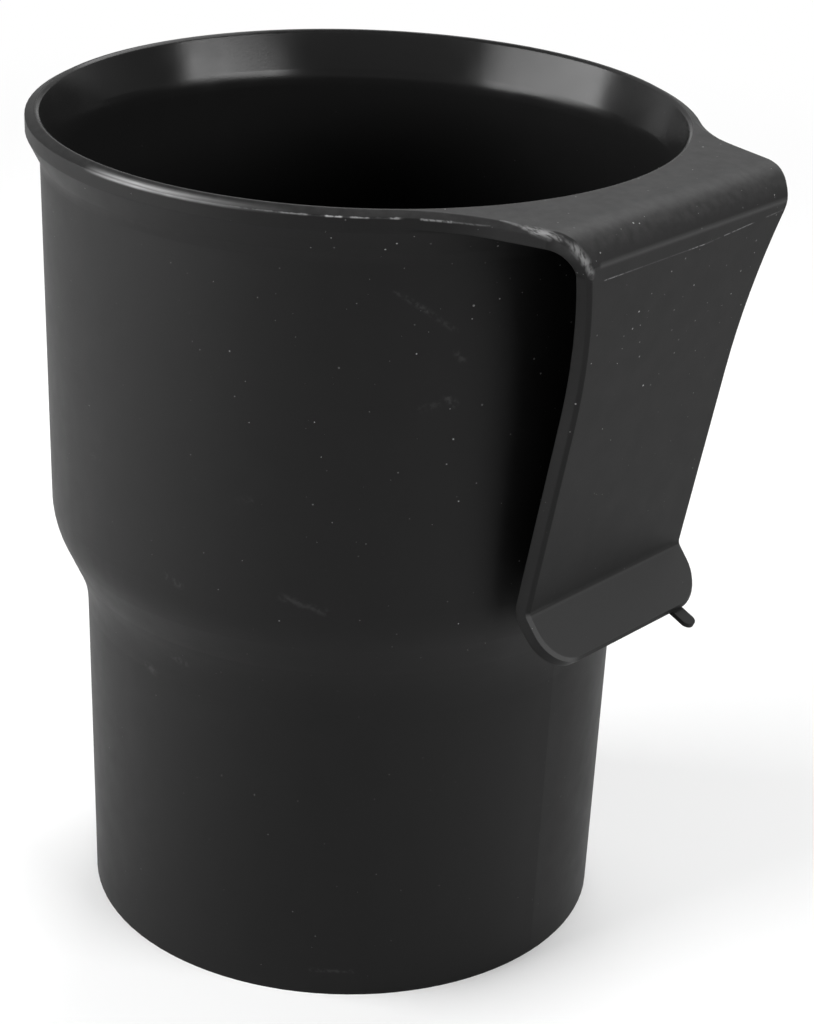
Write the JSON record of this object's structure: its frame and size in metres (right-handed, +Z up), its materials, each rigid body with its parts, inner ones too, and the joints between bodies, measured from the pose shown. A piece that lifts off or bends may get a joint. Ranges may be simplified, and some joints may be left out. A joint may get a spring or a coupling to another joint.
{
  "type": "car cup holder",
  "caption": "Stepped round cup with a rolled-out rim and a wide spring clip that hooks over a door or console edge, moulded in one piece of black plastic.",
  "frame": {"origin": "centre of the flat underside, on the axis of the cup", "axes": "+Z up along the cup's axis, +X from the axis towards the clip, +Y along the clip's width towards the end with the moulding tab"},
  "size_m": [0.1004, 0.0908, 0.1166],
  "materials": {
    "plastic": "satin black, lightly scuffed"
  },
  "bodies": {
    "root": {"cup_holder": "plastic"}
  },
  "joints": []
}
